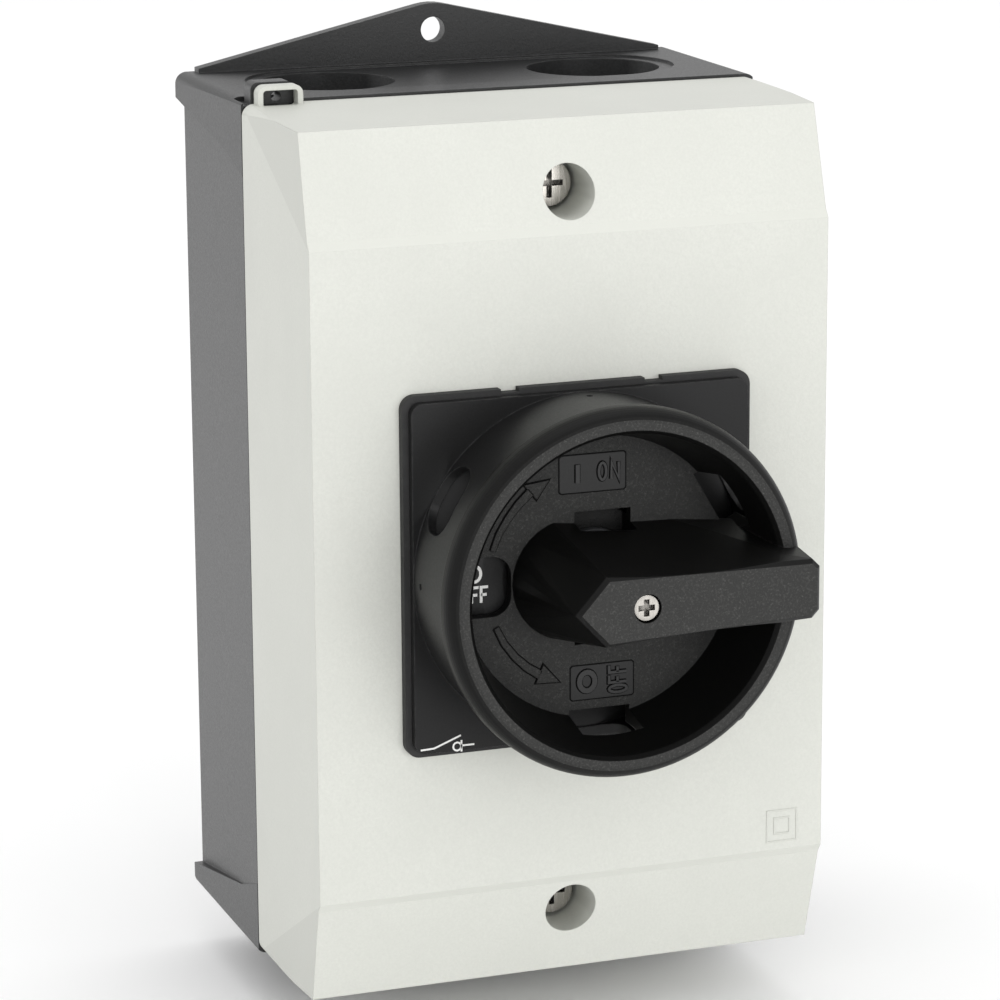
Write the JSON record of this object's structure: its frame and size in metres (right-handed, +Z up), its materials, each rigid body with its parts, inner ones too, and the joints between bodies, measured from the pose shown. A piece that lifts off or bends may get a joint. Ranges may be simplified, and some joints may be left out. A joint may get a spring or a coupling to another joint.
{
  "type": "rotary isolator switch",
  "caption": "Rotary isolator switch in a surface-mounting enclosure: black base, light grey lid, lockable black rotary handle on a square plate.",
  "frame": {"origin": "centre of the two wall screws, on the wall plane", "axes": "+X right, +Y into the wall, +Z up; the front faces -Y"},
  "size_m": [0.1, 0.1142, 0.182],
  "materials": {
    "black_housing": "fine spark-eroded black moulding",
    "grey_housing": "fine matt light grey moulding",
    "black_satin": "smooth satin black moulding",
    "black_textured": "coarse spark-eroded black moulding",
    "dark_grey_plastic": "matt dark grey moulding",
    "ivory_plastic": "matt thermoset moulding",
    "green_plastic": "satin green moulding",
    "blue_plastic": "satin blue moulding",
    "white_plastic": "polyamide washer",
    "zinc_steel": "zinc plated, lightly scratched",
    "stainless": "bright stainless",
    "spring_steel": "drawn spring wire",
    "shaft_steel": "drawn steel",
    "copper": "bare copper with silver tips",
    "brass": "machined brass",
    "seal_rubber": "soft elastomer",
    "black_rubber": "black elastomer"
  },
  "bodies": {
    "base": {"base_shell": "black_housing", "earth_bar_holder": "green_plastic", "earth_bar": "brass", "earth_bar_screws": "zinc_steel", "neutral_bar_holder": "blue_plastic", "neutral_bar": "brass", "neutral_bar_screws": "zinc_steel", "switch_foot": "dark_grey_plastic", "switch_foot_screws": "zinc_steel", "contact_chamber_1": "ivory_plastic", "contact_chamber_2": "ivory_plastic", "contact_chamber_3": "ivory_plastic", "latch_housing": "dark_grey_plastic", "stack_bolts": "zinc_steel", "fixed_contacts_1": "copper", "fixed_contacts_2": "copper", "fixed_contacts_3": "copper", "terminal_clamps": "zinc_steel", "terminal_screws": "zinc_steel", "latch_rollers": "stainless", "latch_springs": "spring_steel", "contact_spring_1": "spring_steel", "contact_spring_2": "spring_steel", "contact_spring_3": "spring_steel"},
    "rotor": {"switch_shaft": "shaft_steel", "cam_1": "ivory_plastic", "cam_2": "ivory_plastic", "cam_3": "ivory_plastic", "latch_star": "ivory_plastic", "shaft_clip": "spring_steel"},
    "slider_1": {"contact_plunger_1": "white_plastic", "contact_bridge_1": "copper"},
    "slider_2": {"contact_plunger_2": "white_plastic", "contact_bridge_2": "copper"},
    "slider_3": {"contact_plunger_3": "white_plastic", "contact_bridge_3": "copper"},
    "lid": {"lid_shell": "grey_housing", "lid_gasket": "seal_rubber", "lid_screws": "stainless", "lid_screw_retainers": "white_plastic", "plate_gasket": "black_rubber", "handle_plate": "black_satin", "plate_screws": "zinc_steel", "bush_seal": "black_rubber"},
    "handle": {"drive_bush": "dark_grey_plastic", "handle_knob": "black_textured", "handle_screw": "stainless"}
  },
  "joints": [
    {"name": "lid_lift", "type": "slide", "parent": "base", "child": "lid", "axis": [0, -1, 0], "range_m": [0, 0.12]},
    {"name": "handle_turn", "type": "hinge", "parent": "lid", "child": "handle", "pos_m": [0, -0.09, 0], "axis": [0, 1, 0], "range_deg": [0, 90]},
    {"name": "rotor_turn", "type": "hinge", "parent": "base", "child": "rotor", "pos_m": [0, -0.03, 0], "axis": [0, 1, 0], "range_deg": [0, 90]},
    {"name": "contact_1_travel", "type": "slide", "parent": "base", "child": "slider_1", "axis": [0, 0, 1], "range_m": [-0.003, 0], "deforming": ["contact_spring_1"]},
    {"name": "contact_2_travel", "type": "slide", "parent": "base", "child": "slider_2", "axis": [0, 0, 1], "range_m": [-0.003, 0], "deforming": ["contact_spring_2"]},
    {"name": "contact_3_travel", "type": "slide", "parent": "base", "child": "slider_3", "axis": [0, 0, 1], "range_m": [-0.003, 0], "deforming": ["contact_spring_3"]}
  ],
  "couplings": [
    {"joint": "rotor_turn", "follows": "handle_turn", "ratio": 1},
    {"joint": "contact_1_travel", "follows": "handle_turn", "m_per_rad": -0.0019099},
    {"joint": "contact_2_travel", "follows": "handle_turn", "m_per_rad": -0.0019099},
    {"joint": "contact_3_travel", "follows": "handle_turn", "m_per_rad": -0.0019099}
  ]
}
